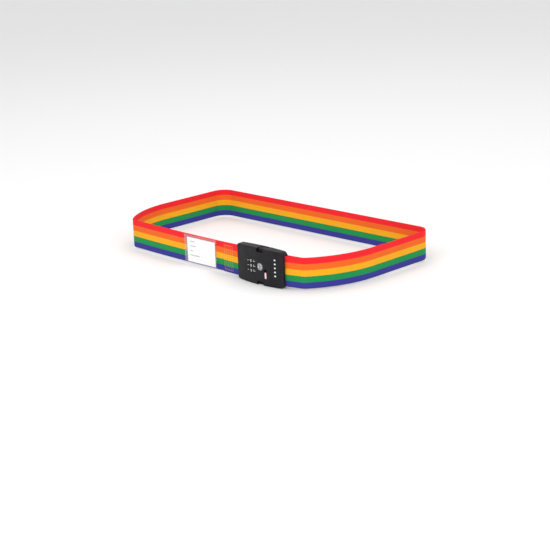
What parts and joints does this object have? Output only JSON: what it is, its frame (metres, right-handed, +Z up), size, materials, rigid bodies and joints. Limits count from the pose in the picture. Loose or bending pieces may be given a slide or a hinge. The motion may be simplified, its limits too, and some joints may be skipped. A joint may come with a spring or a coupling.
{
  "type": "luggage strap",
  "caption": "Striped woven strap closed in a loop by a side-release buckle with a dial combination lock, key cylinder and a name card in a clear pocket.",
  "frame": {"origin": "middle of the bottom of the strap's box; the lowest point is the bottom of the buckle", "axes": "+X along the front of the loop from the lock half to the plug half, +Y from the front to the back of the loop, +Z up"},
  "size_m": [0.508, 0.2828, 0.061],
  "materials": {
    "webbing": "woven rainbow stripes, matt",
    "shell_plastic": "fine-textured moulded charcoal",
    "back_plastic": "moulded black",
    "arm_plastic": "moulded black",
    "dial_plastic": "black with pale digits",
    "brass": "turned",
    "screw_steel": "blackened",
    "pin_steel": "ground",
    "sheet_steel": "stamped",
    "spring_steel": "bright",
    "key_ring": "pale grey",
    "key_metal": "satin",
    "reset_plastic": "pale",
    "clear_pvc": "clear flexible sheet",
    "card_paper": "white card"
  },
  "bodies": {
    "lock": {"lock_front_shell": "shell_plastic", "lock_back_shell": "back_plastic", "lock_screws": "screw_steel", "webbing_pin": "pin_steel", "dial_frame": "sheet_steel", "detent_spring": "spring_steel", "key_cylinder_body": "key_ring", "shaft_spring": "spring_steel", "webbing_main": "webbing", "webbing_adjust_end": "webbing", "id_window": "clear_pvc"},
    "dial_1": {"dial_1": "dial_plastic", "dial_sleeve_1": "brass"},
    "dial_2": {"dial_2": "dial_plastic", "dial_sleeve_2": "brass"},
    "dial_3": {"dial_3": "dial_plastic", "dial_sleeve_3": "brass"},
    "shaft": {"lock_shaft": "pin_steel", "shaft_foot": "sheet_steel"},
    "key": {"key_plug": "key_metal", "key_clip": "spring_steel", "key_cam": "sheet_steel"},
    "reset": {"reset_slider": "reset_plastic", "reset_link": "sheet_steel"},
    "plug": {"plug_front_shell": "shell_plastic", "plug_back_shell": "back_plastic", "plug_screws": "screw_steel", "grip_bar": "pin_steel", "arm_spring_top": "spring_steel", "arm_spring_bottom": "spring_steel"},
    "arm_top": {"plug_arm_top": "arm_plastic"},
    "arm_bottom": {"plug_arm_bottom": "arm_plastic"},
    "card": {"id_card": "card_paper"}
  },
  "joints": [
    {"name": "dial_1_turn", "type": "hinge", "parent": "lock", "child": "dial_1", "pos_m": [0.111, -0.1341, 0.0373], "axis": [0, 0, 1], "continuous": true},
    {"name": "dial_2_turn", "type": "hinge", "parent": "lock", "child": "dial_2", "pos_m": [0.111, -0.1341, 0.0293], "axis": [0, 0, 1], "continuous": true},
    {"name": "dial_3_turn", "type": "hinge", "parent": "lock", "child": "dial_3", "pos_m": [0.111, -0.1341, 0.0213], "axis": [0, 0, 1], "continuous": true},
    {"name": "plug_slide", "type": "slide", "parent": "lock", "child": "plug", "axis": [1, 0, 0], "range_m": [0, 0.034], "deforming": ["webbing_adjust_end", "plug_arm_top", "plug_arm_bottom"]},
    {"name": "arm_top_squeeze", "type": "hinge", "parent": "plug", "child": "arm_top", "pos_m": [0.161, -0.13115, 0.0548], "axis": [0, -1, 0], "range_deg": [0, 5.4], "stiffness_Nm_per_rad": 0.4, "springref_deg": -6.88, "deforming": ["arm_spring_top"]},
    {"name": "arm_bottom_squeeze", "type": "hinge", "parent": "plug", "child": "arm_bottom", "pos_m": [0.161, -0.13115, 0.0062], "axis": [0, 1, 0], "range_deg": [0, 5.4], "stiffness_Nm_per_rad": 0.4, "springref_deg": -6.88, "deforming": ["arm_spring_bottom"]},
    {"name": "shaft_slide", "type": "slide", "parent": "lock", "child": "shaft", "axis": [0, 0, 1], "range_m": [0, 0.00361], "deforming": ["shaft_spring"]},
    {"name": "key_turn", "type": "hinge", "parent": "lock", "child": "key", "pos_m": [0.131, -0.13365, 0.0308], "axis": [0, 1, 0], "range_deg": [0, 90]},
    {"name": "reset_slide", "type": "slide", "parent": "lock", "child": "reset", "axis": [0, 0, 1], "range_m": [0, 0.004]},
    {"name": "card_slide", "type": "slide", "parent": "lock", "child": "card", "axis": [0, 0, 1], "range_m": [0, 0.047]}
  ],
  "couplings": [
    {"joint": "shaft_slide", "follows": "arm_bottom_squeeze", "m_per_rad": 0.038197}
  ]
}
